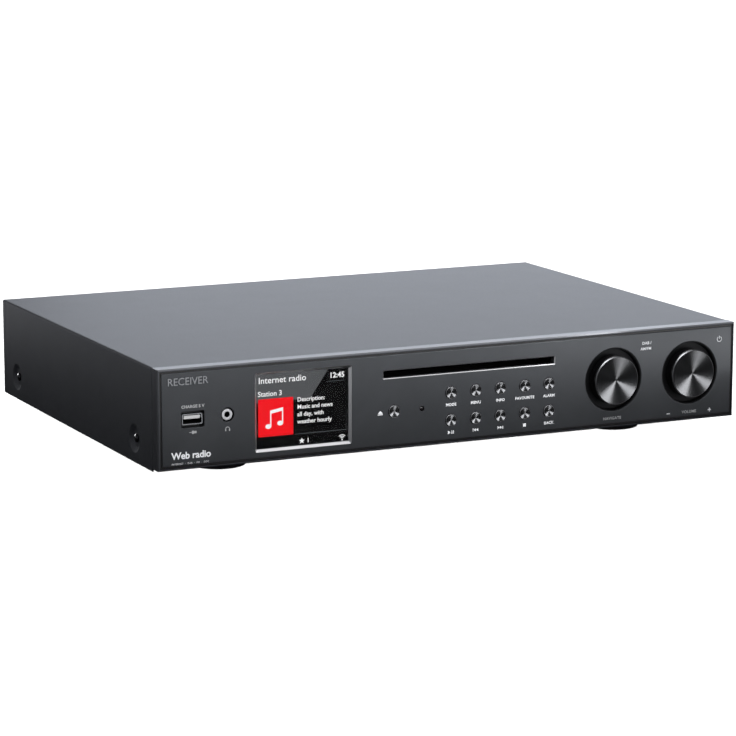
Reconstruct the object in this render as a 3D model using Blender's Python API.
"""A slim stereo receiver: internet radio, slot-in disc player and amplifier in one 430 mm wide case.

Sizes are in millimetres, and make() turns them into metres. X runs to the right, Y from the front face
to the rear, Z up from the floor. Every piece hangs from the empty "receiver", whose origin lies in the
plane of the front face, so Y below is the depth behind that face.
"""

import math

import bmesh
import bpy
from mathutils import Matrix

MM = 0.001
GAP = 0.3  # clearance between pieces that touch

# Case
WIDTH = 430.0
DEPTH = 305.0
TOP = 78.0
FOOT_HEIGHT = 10.0
SHEET = 1.0
PANEL_BOTTOM = 11.6
PANEL_DEPTH = 10.0
PANEL_PLATE = 4.7
PLATE_INSET = 2.8  # from the frame's outer edge to the plate's raised face
RIM = 1.35  # the frame's lip round the plate
GROOVE = 0.8  # depth of the step between the raised face and the lip
COVER_FRONT = PANEL_DEPTH + GAP
REAR_PLATE = 302.4  # inner face of the rear panel
HALF = WIDTH / 2

# Front face, X from the middle and Z above the floor
MIDDLE = PANEL_BOTTOM + 33.4
DISPLAY = (-113.0, PANEL_BOTTOM + 32.8, 69.0, 52.4)  # centre x, centre z, width, height
DISPLAY_BEVEL = 1.6
SLOT = (8.8, PANEL_BOTTOM + 50.5, 129.0, 5.9)
SLOT_BEVEL = 0.5
USB = (-190.8, PANEL_BOTTOM + 32.5, 16.2, 11.2)
JACK = (-166.8, PANEL_BOTTOM + 33.5)
JACK_WELL = 4.9
INFRARED = (-27.0, PANEL_BOTTOM + 25.5)
INFRARED_RADIUS = 1.8
BUTTON_COLUMNS = [-5.4 + 18.55 * i for i in range(5)]
BUTTON_ROWS = [PANEL_BOTTOM + 34.7, PANEL_BOTTOM + 15.9]
BUTTON_NAMES = [
    ["mode_button", "menu_button", "info_button", "favourite_button", "alarm_button"],
    ["play_button", "previous_button", "next_button", "stop_button", "back_button"],
]
EJECT = (-47.6, PANEL_BOTTOM + 25.5)
BUTTON_HOLE = 4.5
BUTTON_SIDES = 16
BUTTON_PLACES = [(x, z) for z in BUTTON_ROWS for x in BUTTON_COLUMNS] + [EJECT]
KNOBS = {"navigate": 119.0, "volume": 179.5}
KNOB_WELL = 22.3
KNOB_RADIUS = 17.0
KNOB_FACE = -4.8
KNOB_DISH = 1.4  # how deep the cap's face is dished
KNOB_SIDES = 48

# Web of the moulded front frame, and the circuit boards
WEB = (PANEL_PLATE + GAP, PANEL_PLATE + GAP + 3.0)
BOARD = 1.6
KEY_BOARD = 13.3
BOARD_BOTTOM = 18.0  # of the main and power boards
ON_BOARD = BOARD_BOTTOM + BOARD + GAP  # where a connector rests on the main board
SUNK = 0.5  # how far a fused piece reaches into the one it joins
BEYOND = 1.0  # how far a cutter runs past what it cuts
FACE_OUT = REAR_PLATE + SHEET  # outer face of the rear panel

# Feet and side screws
FOOT_RADIUS = 19.0
FOOT_X = 150.4
FOOT_FRONT = 56.7
FOOT_REAR = 255.0
SCREW_ALONG = [42.0, 276.0]
SCREW_Z = 26.0
DIMPLE = (11.0, 20.0)
DIMPLE_DEPTH = 2.0
FLANGE_X = HALF - DIMPLE_DEPTH - SHEET - GAP  # outer face of the chassis side flanges
FLANGE_TOP = 40.0

# Disc mechanism
DISC_X = SLOT[0]
DISC_Y = 90.0
MECH_HALF = 74.0
MECH_FRONT = 16.0
MECH_REAR = 170.0
MECH_WALL = 1.2
MECH_FLOOR = 48.0
MECH_TOP = 66.0
DECK_BOTTOM = MECH_FLOOR + MECH_WALL + GAP
DECK_TOP = DECK_BOTTOM + MECH_WALL
ROLLER_Y = 24.0
ROLLER_Z = 55.4
SLED_Y = DISC_Y + 23.0  # over the first track
SLED_ROD_Z = 54.0
SLED_ROD_X = 17.0
POST_FRONT = 97.0
POST_REAR = 160.0
POST = 3.0

# Rear connectors, X from the middle and Z above the floor
MAINS = (-180.0, 32.0)
PHONO = (20.0, 38.0)
PHONO_PITCH = 14.0
AERIAL = (-40.0, 50.0)
AERIAL_END = 313.4
LAN = (-10.0, 26.6)
SPEAKER = (125.0, 38.0)
LEVER_PITCH = 13.0
LEVER_PIVOT = (305.0, 36.0)  # y and z of the hinge line
LEVER_NAMES = ["left_minus", "left_plus", "right_minus", "right_plus"]

FRONT_Y = -(AERIAL_END + KNOB_FACE) / 2  # puts the origin in the middle of the whole depth


# ---------------------------------------------------------------- outlines and meshes

def circle(centre, radius, sides):
    """Points round a circle, with two of them straight above and below the centre."""
    turns = [2 * math.pi * (i + 0.5) / sides for i in range(sides)]
    return [(centre[0] + radius * math.cos(t), centre[1] + radius * math.sin(t)) for t in turns]


def rectangle(centre, width, height):
    """The four corners, anticlockwise."""
    signs = [(-1, -1), (1, -1), (1, 1), (-1, 1)]
    return [(centre[0] + s * width / 2, centre[1] + t * height / 2) for s, t in signs]


def obround(centre, width, height, sides=8):
    """An upright slot with round ends, or a level one where it is wider than tall."""
    radius = min(width, height) / 2
    reach = max(width, height) / 2 - radius
    upright = height >= width
    points = []
    for i in range(2 * sides + 2):
        end = 1 if i <= sides else -1
        turn = math.pi * (i if end == 1 else i - 1) / sides
        across, along = radius * math.cos(turn), radius * math.sin(turn) + end * reach
        points.append((across, along) if upright else (along, -across))
    return [(centre[0] + x, centre[1] + z) for x, z in points]


def along(axis, pair, depth):
    """The point of an outline at a depth along an axis: (y, z) along X, (x, z) along Y, (x, y) along Z."""
    first, second = pair
    return {"x": (depth, first, second), "y": (first, depth, second), "z": (first, second, depth)}[axis]


def loft(axis, sections):
    """A solid through sections (depth, outline), whose outlines have the same number of points."""
    bm = bmesh.new()
    rings = [[bm.verts.new(along(axis, p, depth)) for p in outline] for depth, outline in sections]
    for near, far in zip(rings, rings[1:]):
        count = len(near)
        for i in range(count):
            j = (i + 1) % count
            bm.faces.new((near[i], near[j], far[j], far[i]))
    bm.faces.new(rings[0])
    bm.faces.new(rings[-1])
    bmesh.ops.recalc_face_normals(bm, faces=bm.faces)
    return bm


def prism(axis, outline, low, high):
    return loft(axis, [(low, outline), (high, outline)])


def block(x, y, z):
    """A box from (low, high) pairs."""
    return prism("z", [(x[0], y[0]), (x[1], y[0]), (x[1], y[1]), (x[0], y[1])], z[0], z[1])


def rod(axis, centre, radius, low, high, sides=16):
    return prism(axis, circle(centre, radius, sides), low, high)


def turned(axis, profile, sides, centre=(0.0, 0.0)):
    """A solid of revolution. Its profile lists (radius, depth), and a radius of 0 is a pole."""
    bm = bmesh.new()
    rings = []
    for radius, depth in profile:
        outline = circle(centre, radius, sides) if radius else [centre]
        rings.append([bm.verts.new(along(axis, p, depth)) for p in outline])
    if profile[0][0]:
        rings.append(rings[0])  # a profile with no pole closes on itself
    for near, far in zip(rings, rings[1:]):
        for i in range(sides):
            j = (i + 1) % sides
            corners = [near[i % len(near)], near[j % len(near)], far[j % len(far)], far[i % len(far)]]
            unique = list(dict.fromkeys(corners))
            bm.faces.new(unique)
    bmesh.ops.recalc_face_normals(bm, faces=bm.faces)
    return bm


def gathered(meshes):
    """Several separate solids in one mesh, for cutting them all at once."""
    whole = bmesh.new()
    for part in meshes:
        mesh = bpy.data.meshes.new("part")
        part.to_mesh(mesh)
        part.free()
        whole.from_mesh(mesh)
        bpy.data.meshes.remove(mesh)
    return whole


# ---------------------------------------------------------------- objects

def material(name, colour, roughness, metallic=0.0, alpha=1.0):
    made = bpy.data.materials.new(name)
    made.use_nodes = True
    shader = made.node_tree.nodes["Principled BSDF"]
    shader.inputs["Base Color"].default_value = (*colour, 1.0)
    shader.inputs["Roughness"].default_value = roughness
    shader.inputs["Metallic"].default_value = metallic
    shader.inputs["Alpha"].default_value = alpha
    made.diffuse_color = (*colour, alpha)
    return made


def make(name, bm, finish, origin=(0.0, 0.0, 0.0), smooth=False):
    """An object from a mesh in millimetres, with its own origin, under the receiver's empty."""
    bmesh.ops.transform(bm, matrix=Matrix.Translation([-c for c in origin]), verts=bm.verts)
    bmesh.ops.scale(bm, vec=(MM, MM, MM), verts=bm.verts)
    mesh = bpy.data.meshes.new(name)
    bm.to_mesh(mesh)
    bm.free()
    if smooth:
        mesh.shade_smooth()
        mesh.set_sharp_from_angle(angle=math.radians(35))
    if finish:
        mesh.materials.append(finish)
    obj = bpy.data.objects.new(name, mesh)
    bpy.context.scene.collection.objects.link(obj)
    obj.parent = bpy.data.objects["receiver"]
    obj.location = [c * MM for c in origin]
    return obj


def boolean(obj, bm, operation):
    tool = make(f"{obj.name}_{operation.lower()}", bm, None)
    tool.hide_render = True
    tool.display_type = "WIRE"
    modifier = obj.modifiers.new(operation.title(), "BOOLEAN")
    modifier.operation = operation
    modifier.object = tool
    return obj


def cut(obj, *solids):
    """Cuts separate solids out of an object."""
    return boolean(obj, gathered(solids), "DIFFERENCE")


def fuse(obj, *solids):
    """Adds solids that overlap the object, but not each other."""
    return boolean(obj, gathered(solids), "UNION")


def clear_scene():
    for obj in list(bpy.data.objects):
        bpy.data.objects.remove(obj, do_unlink=True)
    receiver = bpy.data.objects.new("receiver", None)
    receiver.location = (0.0, FRONT_Y * MM, 0.0)
    bpy.context.scene.collection.objects.link(receiver)


# ---------------------------------------------------------------- case

def bevelled_opening(centre, width, height, bevel, end):
    """A rectangular cutter from in front of the panel, narrowing by a bevel all round."""
    outside = rectangle(centre, width + 2 * bevel, height + 2 * bevel)
    throat = rectangle(centre, width - 2 * bevel, height - 2 * bevel)
    return loft("y", [(-bevel, outside), (bevel, throat), (end, throat)])


def round_opening(centre, radius, bevel, end, sides):
    outside = circle(centre, radius + bevel, sides)
    throat = circle(centre, radius - bevel, sides)
    return loft("y", [(-bevel, outside), (bevel, throat), (end, throat)])


def edge_bevel(bm, y, offset):
    """Bevels the four edges of a block's face at a depth."""
    edges = [e for e in bm.edges if all(abs(v.co.y - y) < 1e-6 for v in e.verts)]
    bmesh.ops.bevel(bm, geom=edges, offset=offset, segments=1, affect="EDGES")


def upright(inset):
    """The front's extent in Z, less an inset at the top and bottom."""
    return PANEL_BOTTOM + inset, TOP - inset


def level(inset):
    """The front's extent in X, less an inset at both ends."""
    return -HALF + inset, HALF - inset


def front_panel(finish):
    """The aluminium plate, let into the moulded frame with a shallow groove round its raised face."""
    plate = block(level(PLATE_INSET), (0, PANEL_PLATE), upright(PLATE_INSET))
    edge_bevel(plate, 0, 0.4)
    panel = make("front_panel", plate, finish)
    skirt = RIM + GAP
    fuse(panel, block(level(skirt), (GROOVE, PANEL_PLATE), upright(skirt)))
    end = PANEL_PLATE + 1
    openings = [
        bevelled_opening(DISPLAY[:2], *DISPLAY[2:], DISPLAY_BEVEL, end),
        bevelled_opening(SLOT[:2], *SLOT[2:], SLOT_BEVEL, end),
        bevelled_opening(USB[:2], *USB[2:], 0.3, end),
        round_opening(JACK, JACK_WELL, 0.3, end, 24),
        rod("y", INFRARED, INFRARED_RADIUS, -1, end, 12),
    ]
    openings += [rod("y", p, BUTTON_HOLE, -1, end, BUTTON_SIDES) for p in BUTTON_PLACES]
    openings += [round_opening((x, MIDDLE), KNOB_WELL, 0.5, end, KNOB_SIDES) for x in KNOBS.values()]
    cut(panel, *openings)


def front_frame(finish):
    """The moulding that holds the plate in its lip, guides the buttons and carries the display."""
    low, high = WEB
    back = 2.6
    shell = block(level(0), (0, PANEL_DEPTH), upright(0))
    edge_bevel(shell, 0, 0.8)
    frame = make("front_frame", shell, finish)
    cut(frame, block(level(RIM), (-BEYOND, low), upright(RIM)),
        block(level(back), (high, PANEL_DEPTH + BEYOND), upright(back)))
    lugs = [block((x - 8, x + 8), (high - 1, PANEL_DEPTH + GAP), (PANEL_BOTTOM + back - SUNK, 21))
            for x in (-190, -30, 195)]
    fuse(frame, *lugs)
    cutters = [
        prism("y", rectangle(DISPLAY[:2], 68.6, 51.8), low - 1, high + 1),
        prism("y", rectangle(SLOT[:2], 130, 6.5), low - 1, high + 1),
        prism("y", rectangle(USB[:2], 14.2, 7.2), low - 1, high + 1),
        rod("y", JACK, 4.0, low - 1, high + 1),
        rod("y", INFRARED, 1.9, low - 1, high + 1, 12),
    ]
    for place in BUTTON_PLACES:
        wide, narrow = circle(place, 5.6, BUTTON_SIDES), circle(place, 2.7, BUTTON_SIDES)
        cutters.append(loft("y", [(low - 1, wide), (low + 2, wide), (low + 2.01, narrow),
                                  (high + 1, narrow)]))
    cutters += [rod("y", (x, MIDDLE), 4.6, low - 1, high + 1, 24) for x in KNOBS.values()]
    cut(frame, *cutters)


def cover_dimple(side, y):
    """The pad, recess and screw hole of one pressed dimple in the cover's side."""
    centre = (y, SCREW_Z)
    floor = HALF - DIMPLE_DEPTH
    recess = loft("x", [
        (side * (HALF + 0.6), obround(centre, DIMPLE[0] + 1.2, DIMPLE[1] + 1.2)),
        (side * floor, obround(centre, DIMPLE[0] - 4, DIMPLE[1] - 4)),
    ])
    pad_outline = obround(centre, DIMPLE[0] + 1, DIMPLE[1] + 1)
    pad = prism("x", pad_outline, side * (floor - SHEET), side * (HALF - SHEET / 2))
    hole = rod("x", centre, 1.8, side * (floor - SHEET - 1), side * (floor + 0.5), 12)
    return pad, recess, hole


def top_cover(finish):
    outside = block((-HALF, HALF), (COVER_FRONT, DEPTH), (FOOT_HEIGHT, TOP))
    corners = [e for e in outside.edges if all(abs(v.co.z - TOP) < 1e-6 and abs(v.co.x) > 1 for v in e.verts)
               and abs(e.verts[0].co.x - e.verts[1].co.x) < 1e-6]
    bmesh.ops.bevel(outside, geom=corners, offset=1.2, segments=2, affect="EDGES", profile=0.5)
    cover = make("top_cover", outside, finish)
    inner = HALF - SHEET
    cut(cover, block((-inner, inner), (COVER_FRONT - 1, DEPTH + 1), (FOOT_HEIGHT - 1, TOP - SHEET)))
    dimples = [cover_dimple(side, y) for side in (-1, 1) for y in SCREW_ALONG]
    fuse(cover, *[pad for pad, recess, hole in dimples])
    cut(cover, *[recess for pad, recess, hole in dimples])
    cut(cover, *[hole for pad, recess, hole in dimples])


def vent_rows(x_range, y_range, pitch):
    """Slots across the floor of the chassis, one every pitch."""
    count = int((y_range[1] - y_range[0]) / pitch)
    starts = [y_range[0] + i * pitch for i in range(count)]
    return [block(x_range, (y, y + 4), (FOOT_HEIGHT - 1, FOOT_HEIGHT + 2)) for y in starts]


def chassis_base(finish):
    base_z = FOOT_HEIGHT
    front, rear = COVER_FRONT + GAP, REAR_PLATE - GAP
    tray = make("chassis_base", block((-FLANGE_X, FLANGE_X), (front, rear), (base_z, FLANGE_TOP)), finish)
    inner = FLANGE_X - SHEET
    cut(tray, block((-inner, inner), (front + SHEET, rear + 1), (base_z + SHEET, FLANGE_TOP + 1)))
    cut(tray, block((-HALF, HALF), (front - 1, front + SHEET + 1), (22, FLANGE_TOP + 1)))
    vents = vent_rows((-190, -130), (90, 250), 12) + vent_rows((-118, -80), (90, 250), 12)
    vents += vent_rows((60, 120), (180, 235), 12)
    holes = [rod("x", (y, SCREW_Z), 1.7, side * (FLANGE_X - 3), side * (FLANGE_X + 1), 12)
             for side in (-1, 1) for y in SCREW_ALONG]
    cut(tray, *vents, *holes)


def rear_panel(finish):
    near, far = REAR_PLATE, REAR_PLATE + SHEET
    inner = HALF - SHEET - GAP
    plate = make("rear_panel", block((-inner, inner), (near, far), (FOOT_HEIGHT, TOP - SHEET - GAP)), finish)
    low, high = near - 1, far + 1
    cutters = [
        prism("y", obround(MAINS, 24.6, 14.6), low, high),
        prism("y", rectangle(PHONO, 30.6, 30.6), low, high),
        rod("y", AERIAL, 5.3, low, high, 16),
        prism("y", rectangle(LAN, 16.6, 14.0), low, high),
        prism("y", rectangle(SPEAKER, 56.6, 28.6), low, high),
    ]
    for i in range(12):
        cutters.append(prism("y", obround((-140 + 7 * i, 46), 3, 26, 4), low, high))
    cut(plate, *cutters)


def foot(name, x, y, finish):
    profile = [(0, 4.0), (5.5, 4.0), (5.5, 0), (FOOT_RADIUS - 1, 0), (FOOT_RADIUS, 1.0),
               (FOOT_RADIUS - 0.6, FOOT_HEIGHT - GAP), (0, FOOT_HEIGHT - GAP)]
    make(name, turned("z", profile, 32, (x, y)), finish, (x, y, 0), smooth=True)


def cover_screw(name, side, y, finish):
    head = HALF - DIMPLE_DEPTH + GAP
    origin = (side * head, y, SCREW_Z)
    profile = [(0, head + 1.5), (1.9, head + 1.4), (2.9, head + 0.6), (2.9, head), (1.5, head),
               (1.5, head - 7), (0, head - 7)]
    bm = turned("x", [(r, side * depth) for r, depth in profile], 16, (y, SCREW_Z))
    screw = make(name, bm, finish, origin, smooth=True)
    arms = [rectangle((y, SCREW_Z), 3.0, 0.7), rectangle((y, SCREW_Z), 0.7, 3.0)]
    for outline in arms:
        tool = prism("x", outline, side * (head + 0.7), side * (head + 2.5))
        boolean(screw, tool, "DIFFERENCE")


# ---------------------------------------------------------------- front controls

def display_window(finish):
    width, height = DISPLAY[2] - 2 * DISPLAY_BEVEL - 0.6, DISPLAY[3] - 2 * DISPLAY_BEVEL - 0.6
    make("display_window", prism("y", rectangle(DISPLAY[:2], width, height), 2.4, PANEL_PLATE), finish)


def display_module(finish):
    x, z = DISPLAY[:2]
    body = make("display_module", prism("y", rectangle((x, z), 68.0, 51.2), WEB[0], WEB[0] + 3.4), finish)
    fuse(body, prism("y", rectangle((x, z), 62.0, 46.0), WEB[0] + 3.0, WEB[0] + 5.0))
    fuse(body, prism("y", rectangle((x, z - 14), 22.0, 5.0), WEB[0] + 4.6, WEB[0] + 8.0))


def usb_port(finish):
    x, z = USB[:2]
    port = make("usb_port", prism("y", rectangle((x, z), 13.4, 6.4), 1.2, 17.0), finish)
    cut(port, prism("y", rectangle((x, z), 12.4, 5.4), 0.0, 15.5))
    fuse(port, prism("y", rectangle((x, z + 1.2), 11.2, 1.9), 2.4, 16.0))


def headphone_jack(finish):
    x, z = JACK
    case = block((x - 6, x + 6), (WEB[1] + GAP, KEY_BOARD - GAP), (z - 6, z + 6))
    body = make("headphone_jack", case, finish)
    fuse(body, rod("y", JACK, 3.6, 1.0, 12, 24))
    cut(body, rod("y", JACK, 1.8, 0, 18, 16))


def infrared_window(finish):
    profile = [(0, 0.1), (1.2, 0.4), (1.6, 1.0), (1.6, 9.0), (0, 9.0)]
    lens = turned("y", profile, 12, INFRARED)
    make("infrared_window", lens, finish, (INFRARED[0], 0, INFRARED[1]), smooth=True)


def button(name, place, finish):
    """A dished cap, the flange that the panel holds back, and the stem that presses the switch."""
    flange = WEB[0]
    profile = [(0, -0.3), (3.6, -0.6), (4.15, -0.2), (4.15, flange), (5.2, flange), (5.2, flange + 1.0),
               (2.3, flange + 1.0), (2.3, 8.9), (0, 8.9)]
    make(name, turned("y", profile, BUTTON_SIDES, place), finish, (place[0], 0, place[1]), smooth=True)


def key_board(finish):
    """The board behind the front. It is low where the disc passes, and carries a switch for each button."""
    low, high, step = 24.0, 73.0, 57.0
    end = 207.0
    outline = [(-end, low), (end, low), (end, high), (86, high), (86, step), (-60, step), (-60, high),
               (-end, high)]
    board = make("key_board", prism("y", outline, KEY_BOARD, KEY_BOARD + BOARD), finish)
    fuse(board, *[block((x - 3, x + 3), (9.7, KEY_BOARD + 0.5), (z - 3, z + 3)) for x, z in BUTTON_PLACES])
    fuse(board, block((-30, -24), (9.6, KEY_BOARD + 0.5), (INFRARED[1] - 3.5, INFRARED[1] + 3.5)))
    fuse(board, block((90, 115), (KEY_BOARD + 1, KEY_BOARD + 7), (26, 31)))
    cut(board, prism("y", rectangle(USB[:2], 14.0, 7.0), KEY_BOARD - 1, KEY_BOARD + 3))


def knob(side, x, finishes):
    """A knob on a push encoder: the shaft slides through a rotor that turns with it."""
    origin = (x, 0, MIDDLE)
    centre = (x, MIDDLE)
    gloss, spun, steel, black = finishes
    skirt = 4.0
    boss, shaft_top = 3.0, -1.2
    cap_back = KNOB_FACE + 1.0
    cap_radius = KNOB_RADIUS - 0.2
    body = turned("y", [(0, cap_back + GAP + KNOB_DISH), (KNOB_RADIUS, cap_back + GAP), (KNOB_RADIUS, skirt),
                        (15.0, skirt), (15.0, shaft_top), (6.0, shaft_top), (6.0, boss), (3.1, boss),
                        (3.1, shaft_top), (0, shaft_top)], KNOB_SIDES, centre)
    make(f"{side}_knob", body, gloss, origin, smooth=True)
    cap = turned("y", [(0, KNOB_FACE + KNOB_DISH), (cap_radius - 0.7, KNOB_FACE),
                       (cap_radius, KNOB_FACE + 0.6), (cap_radius, cap_back),
                       (0, cap_back + KNOB_DISH)], KNOB_SIDES, centre)
    make(f"{side}_knob_cap", cap, spun, origin, smooth=True)
    make(f"{side}_shaft", rod("y", centre, 2.95, shaft_top + GAP, 11.9, 20), steel, origin, smooth=True)
    rotor = turned("y", [(3.15, 9.7), (5.2, 9.7), (5.2, 11.6), (3.15, 11.6)], 20, centre)
    make(f"{side}_rotor", rotor, black, origin, smooth=True)
    case = block((x - 6.2, x + 6.2), (8.5, 13.0), (MIDDLE - 6.6, MIDDLE + 6.6))
    encoder = make(f"{side}_encoder", case, steel)
    fuse(encoder, rod("y", centre, 4.2, WEB[0] + GAP, 9.5, 24))
    cut(encoder, rod("y", centre, 5.5, 9.3, 12.6, 20))
    cut(encoder, rod("y", centre, 3.15, 4, 10.5, 20))


# ---------------------------------------------------------------- disc mechanism

def mech_x(offset):
    return DISC_X + offset


def cd_frame(finish):
    left, right = mech_x(-MECH_HALF), mech_x(MECH_HALF)
    frame = make("cd_frame", block((left, right), (MECH_FRONT, MECH_REAR), (MECH_FLOOR, MECH_TOP)), finish)
    inner = (left + MECH_WALL, right - MECH_WALL)
    cut(frame, block(inner, (MECH_FRONT - 1, MECH_REAR - MECH_WALL), (MECH_FLOOR + MECH_WALL, MECH_TOP + 1)))
    cut(frame, block((mech_x(-33), mech_x(33)), (73, 160), (MECH_FLOOR - 1, MECH_FLOOR + 2)),
        *[rod("x", (ROLLER_Y, ROLLER_Z), 1.9, x - 3, x + 3, 12) for x in (left, right)])
    legs = [block((x, x + 9), (y, y + 9), (FOOT_HEIGHT + SHEET + GAP, MECH_FLOOR + 0.6))
            for x in (left, right - 9) for y in (MECH_FRONT + 4, MECH_REAR - 13)]
    fuse(frame, *legs)


def cd_top_plate(finish):
    left, right = mech_x(-MECH_HALF), mech_x(MECH_HALF)
    low = MECH_TOP + GAP
    sheet = block((left, right), (MECH_FRONT, MECH_REAR), (low, low + MECH_WALL))
    plate = make("cd_top_plate", sheet, finish)
    fuse(plate, rod("z", (DISC_X, DISC_Y), 15.0, low - 1.6, low + 0.5, 24))


def cd_deck(finish):
    """The sprung plate that lifts the turntable and the laser up to the disc."""
    plate = block((mech_x(-36), mech_x(36)), (70, 164), (DECK_BOTTOM, DECK_TOP))
    deck = make("cd_deck", plate, finish)
    fuse(deck, rod("z", (DISC_X, DISC_Y), 11.0, 43.0, DECK_BOTTOM + 0.5, 24))
    rods = [mech_x(s * SLED_ROD_X) for s in (-1, 1)]
    posts = [block((x - 3, x + 3), (y, y + POST), (DECK_TOP - SUNK, 57)) for x in rods
             for y in (POST_FRONT, POST_REAR)]
    fuse(deck, *posts)
    cut(deck, rod("y", (mech_x(SLED_ROD_X), SLED_ROD_Z), 1.7, POST_FRONT - 1, POST_REAR + POST + 1, 12),
        rod("z", (DISC_X, DISC_Y), 1.4, 45, DECK_TOP + 1, 12))
    fuse(deck, rod("y", (mech_x(-SLED_ROD_X), SLED_ROD_Z), 1.2, POST_FRONT + 1, POST_REAR + 1, 10))


def loading_roller(finish):
    left, right = mech_x(-MECH_HALF + 0.2), mech_x(MECH_HALF - 0.2)
    profile = [(0, left), (1.5, left), (1.5, left + 12), (4.0, left + 12), (3.6, DISC_X), (4.0, right - 12),
               (1.5, right - 12), (1.5, right), (0, right)]
    roller = turned("x", profile, 14, (ROLLER_Y, ROLLER_Z))
    make("loading_roller", roller, finish, (DISC_X, ROLLER_Y, ROLLER_Z), smooth=True)


def turntable(finish):
    profile = [(0, 59.4), (4.0, 59.4), (7.2, 57.6), (14.5, 57.6), (14.5, 56.2), (3.0, 56.2), (3.0, 51.4),
               (1.1, 51.4), (1.1, 46.0), (0, 46.0)]
    make("turntable", turned("z", profile, 24, (DISC_X, DISC_Y)), finish, (DISC_X, DISC_Y, 0), smooth=True)


def laser_sled(finish):
    half, low, high = 8.0, DECK_TOP + GAP, 56.6
    body = block((mech_x(-22), mech_x(22)), (SLED_Y - half, SLED_Y + half), (low, high))
    sled = make("laser_sled", body, finish, (DISC_X, SLED_Y, SLED_ROD_Z))
    fuse(sled, rod("z", (DISC_X, SLED_Y), 3.5, high - 1, 58.0, 14))
    cut(sled, *[rod("y", (mech_x(s * SLED_ROD_X), SLED_ROD_Z), 1.9, SLED_Y - half - 1, SLED_Y + half + 1, 12)
                for s in (-1, 1)])


def sled_screw(finish):
    centre = (mech_x(SLED_ROD_X), SLED_ROD_Z)
    make("sled_screw", rod("y", centre, 1.4, POST_FRONT + 0.3, POST_REAR + POST - 0.3, 10), finish,
         (centre[0], POST_FRONT, centre[1]), smooth=True)


# ---------------------------------------------------------------- boards and connectors

def circuit_board(name, x, y, posts, parts, finish):
    """A board on posts, with blocks and cans standing on it."""
    z = BOARD_BOTTOM
    board = make(name, block(x, y, (z, z + BOARD)), finish)
    fuse(board, *[rod("z", p, 3.0, FOOT_HEIGHT + SHEET + GAP, z + SUNK, 10) for p in posts])
    fuse(board, *parts)


def main_board(finish):
    top = BOARD_BOTTOM + BOARD - SUNK
    can_places = [(150 + 20 * i, 190 + 22 * j) for i in range(3) for j in range(2)]
    cans = [rod("z", place, 8.0, top, top + 28, 16) for place in can_places]
    chips = [block((x, x + w), (y, y + d), (top, top + h)) for x, y, w, d, h in
             [(-55, 268, 14, 12, 2.5), (-20, 262, 10, 10, 2), (72, 262, 22, 10, 12), (8, 262, 10, 20, 9)]]
    circuit_board("main_board", (-66, 205), (176, 298),
                  [(-60, 182), (199, 182), (-60, 292), (199, 292)], cans + chips, finish)


def network_module(finish):
    card = make("network_module", block((-58, -8), (188, 240), (26, 26 + BOARD)), finish)
    fuse(card, block((-52, -20), (194, 224), (27, 31)), block((-16, -11), (192, 236), (27, 29)))
    fuse(card, block((-56, -10), (229, 233), (ON_BOARD, 26 + SUNK)))


def heatsink(finish):
    """An extrusion whose fins stand up from a foot."""
    count, pitch, fin = 9, 6.0, 1.6
    left, low, web, high = 64.0, ON_BOARD, 24.0, 60.0
    outline = [(left, low), (left + pitch * (count - 1) + fin, low)]
    for i in reversed(range(count)):
        x = left + pitch * i
        outline += [(x + fin, high), (x, high)]
        if i:
            outline += [(x, web), (x - pitch + fin, web)]
    make("heatsink", prism("y", outline, 184, 250), finish)


def power_board(finish):
    """The switching supply: its transformer's core and winding, capacitors, a filter and a heat plate."""
    top = BOARD_BOTTOM + BOARD - SUNK
    core = block((-160, -120), (150, 186), (top, top + 30))
    winding = block((-152, -128), (146, 190), (top, top + 24))
    big_cans = [rod("z", (-185, 140 + 26 * i), 11.0, top, top + 34, 18) for i in range(2)]
    small_cans = [rod("z", (-96, 100 + 20 * i), 6.5, top, top + 24, 14) for i in range(4)]
    mains_filter = block((-200, -172), (232, 262), (top, top + 18))
    heat_plate = block((-150, -146), (100, 140), (top, top + 26))
    circuit_board("power_board", (-206, -82), (80, 290), [(-200, 86), (-88, 86), (-200, 284), (-88, 284)],
                  [core, *big_cans, *small_cans, mains_filter, heat_plate], finish)
    fuse(bpy.data.objects["power_board"], winding)


def mains_inlet(finish):
    """A two-pin inlet: a flange outside the panel, an open well, and the pins in it."""
    flange = (FACE_OUT + GAP, FACE_OUT + 2.5)
    inlet = make("mains_inlet", prism("y", obround(MAINS, 32.0, 20.0), *flange), finish)
    fuse(inlet, prism("y", obround(MAINS, 24.0, 14.0), 282.0, flange[0] + SUNK))
    cut(inlet, prism("y", obround(MAINS, 19.0, 9.6), 289.0, flange[1] + BEYOND))
    fuse(inlet, *[rod("y", (MAINS[0] + s * 4.8, MAINS[1]), 1.2, 288.0, 301.0, 10) for s in (-1, 1)])


def phono_block(finish):
    x, z = PHONO
    body = make("phono_block", prism("y", rectangle(PHONO, 30.0, 30.0), 290.0, FACE_OUT + 1.5), finish)
    reach = PHONO_PITCH / 2
    places = [(x + s * reach, z + t * reach) for s in (-1, 1) for t in (-1, 1)]
    socket_end = 312.4
    fuse(body, *[rod("y", p, 4.15, 302.0, socket_end, 20) for p in places])
    cut(body, *[rod("y", p, 1.7, 303.0, socket_end + BEYOND, 12) for p in places])
    fuse(body, block((x - 15, x + 15), (291, 300), (ON_BOARD, z - 14)))


def aerial_socket(finish):
    socket = make("aerial_socket", rod("y", AERIAL, 4.7, 294.0, AERIAL_END, 20), finish)
    fuse(socket, rod("y", AERIAL, 7.5, FACE_OUT + GAP, FACE_OUT + 3.0, 6))
    fuse(socket, block((AERIAL[0] - 7, AERIAL[0] + 7), (286, 296), (ON_BOARD, AERIAL[1] + 7)))
    cut(socket, rod("y", AERIAL, 1.2, 304.0, AERIAL_END + BEYOND, 10))


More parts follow.
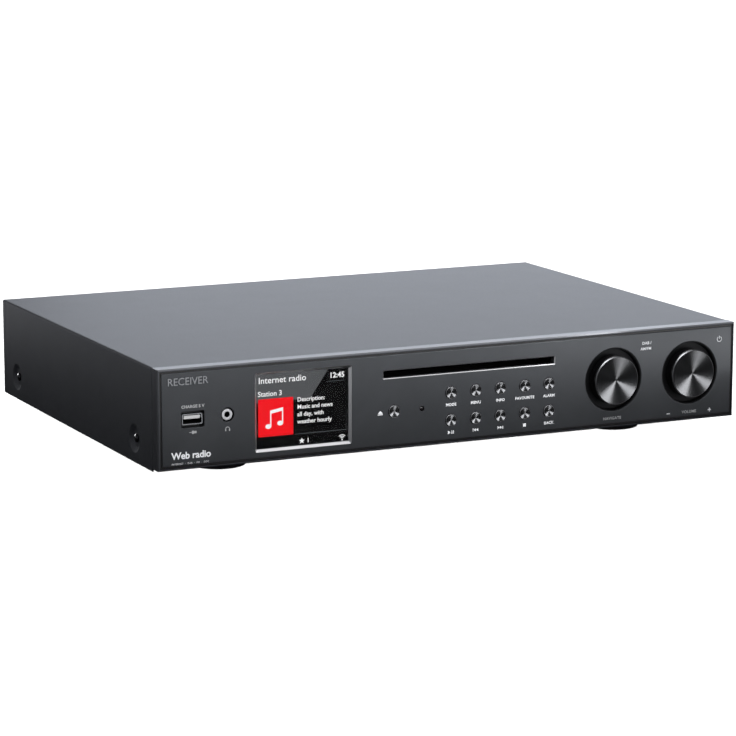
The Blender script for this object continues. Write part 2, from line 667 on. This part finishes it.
def lan_port(finish):
    x, z = LAN
    front = 304.4
    port = make("lan_port", block((x - 8, x + 8), (283, front), (ON_BOARD, z + 6.7)), finish)
    mouth = block((x - 5.9, x + 5.9), (291, front + BEYOND), (z - 4, z + 4))
    latch = block((x - 3, x + 3), (291.5, front + BEYOND), (z - 5.4, z - 3))
    cut(port, mouth)
    cut(port, latch)


def lever_x(index):
    return SPEAKER[0] + (index - 1.5) * LEVER_PITCH


def speaker_terminals(finish):
    z = SPEAKER[1]
    front = 306.4
    body = make("speaker_terminals", prism("y", rectangle(SPEAKER, 56.0, 28.0), 292.0, front), finish)
    pockets, wires, bearings = [], [], []
    for i in range(len(LEVER_NAMES)):
        x = lever_x(i)
        pockets.append(block((x - 5, x + 5), (297.5, front + BEYOND), (z - 5, z + 12)))
        wires.append(rod("y", (x, z - 8.5), 1.7, 299.0, front + BEYOND, 12))
        bearings.append(rod("x", LEVER_PIVOT, 1.15, x - 5.9, x + 5.9, 12))
    cut(body, *pockets, *wires)
    cut(body, *bearings)
    fuse(body, block((SPEAKER[0] - 26, SPEAKER[0] + 26), (293, 300), (ON_BOARD, z - 13)))


def speaker_lever(name, x, finish):
    """A tab on two short pins. Pressing its top in opens the clamp."""
    y, z = LEVER_PIVOT
    origin = (x, y, z)
    lever = make(name, block((x - 4.5, x + 4.5), (y - 1.6, y + 2.6), (z - 1.6, z + 13.0)), finish, origin)
    fuse(lever, rod("x", (y, z), 0.9, x - 5.5, x + 5.5, 10))


# ---------------------------------------------------------------- assembly

def main():
    clear_scene()
    anodised = material("anodised_aluminium", (0.075, 0.078, 0.085), 0.42, 0.6)
    painted = material("painted_steel", (0.10, 0.102, 0.11), 0.5, 0.3)
    zinc = material("zinc_plated_steel", (0.55, 0.56, 0.58), 0.35, 1.0)
    moulded = material("front_moulding", (0.09, 0.092, 0.1), 0.4)
    black = material("black_plastic", (0.012, 0.012, 0.013), 0.45)
    gloss = material("gloss_black", (0.008, 0.008, 0.009), 0.18)
    rubber = material("rubber", (0.02, 0.02, 0.02), 0.85)
    spun = material("spun_aluminium", (0.09, 0.092, 0.1), 0.25, 1.0)
    steel = material("bright_steel", (0.62, 0.63, 0.65), 0.25, 1.0)
    black_screw = material("black_screw", (0.03, 0.03, 0.032), 0.3, 0.8)
    board = material("circuit_board", (0.02, 0.12, 0.05), 0.5)
    window = material("clear_window", (0.02, 0.02, 0.025), 0.05, 0.0, 0.35)
    red = material("red_plastic", (0.45, 0.02, 0.02), 0.4)

    front_panel(anodised)
    front_frame(moulded)
    top_cover(painted)
    chassis_base(zinc)
    rear_panel(painted)
    for row, y in (("front", FOOT_FRONT), ("rear", FOOT_REAR)):
        foot(f"foot_{row}_left", -FOOT_X, y, rubber)
        foot(f"foot_{row}_right", FOOT_X, y, rubber)
    for side, name in ((-1, "left"), (1, "right")):
        for y, row in zip(SCREW_ALONG, ("front", "rear")):
            cover_screw(f"cover_screw_{name}_{row}", side, y, black_screw)

    display_window(window)
    display_module(steel)
    usb_port(steel)
    headphone_jack(steel)
    infrared_window(gloss)
    key_board(board)
    for names, z in zip(BUTTON_NAMES, BUTTON_ROWS):
        for name, x in zip(names, BUTTON_COLUMNS):
            button(name, (x, z), spun)
    button("eject_button", EJECT, spun)
    for side, x in KNOBS.items():
        knob(side, x, (gloss, spun, steel, black))

    cd_frame(zinc)
    cd_top_plate(zinc)
    cd_deck(black)
    loading_roller(rubber)
    turntable(black)
    laser_sled(black)
    sled_screw(steel)

    main_board(board)
    network_module(board)
    heatsink(anodised)
    power_board(board)
    mains_inlet(black)
    phono_block(black)
    aerial_socket(steel)
    lan_port(steel)
    speaker_terminals(black)
    for i, name in enumerate(LEVER_NAMES):
        speaker_lever(f"speaker_lever_{name}", lever_x(i), red if "plus" in name else black)


main()
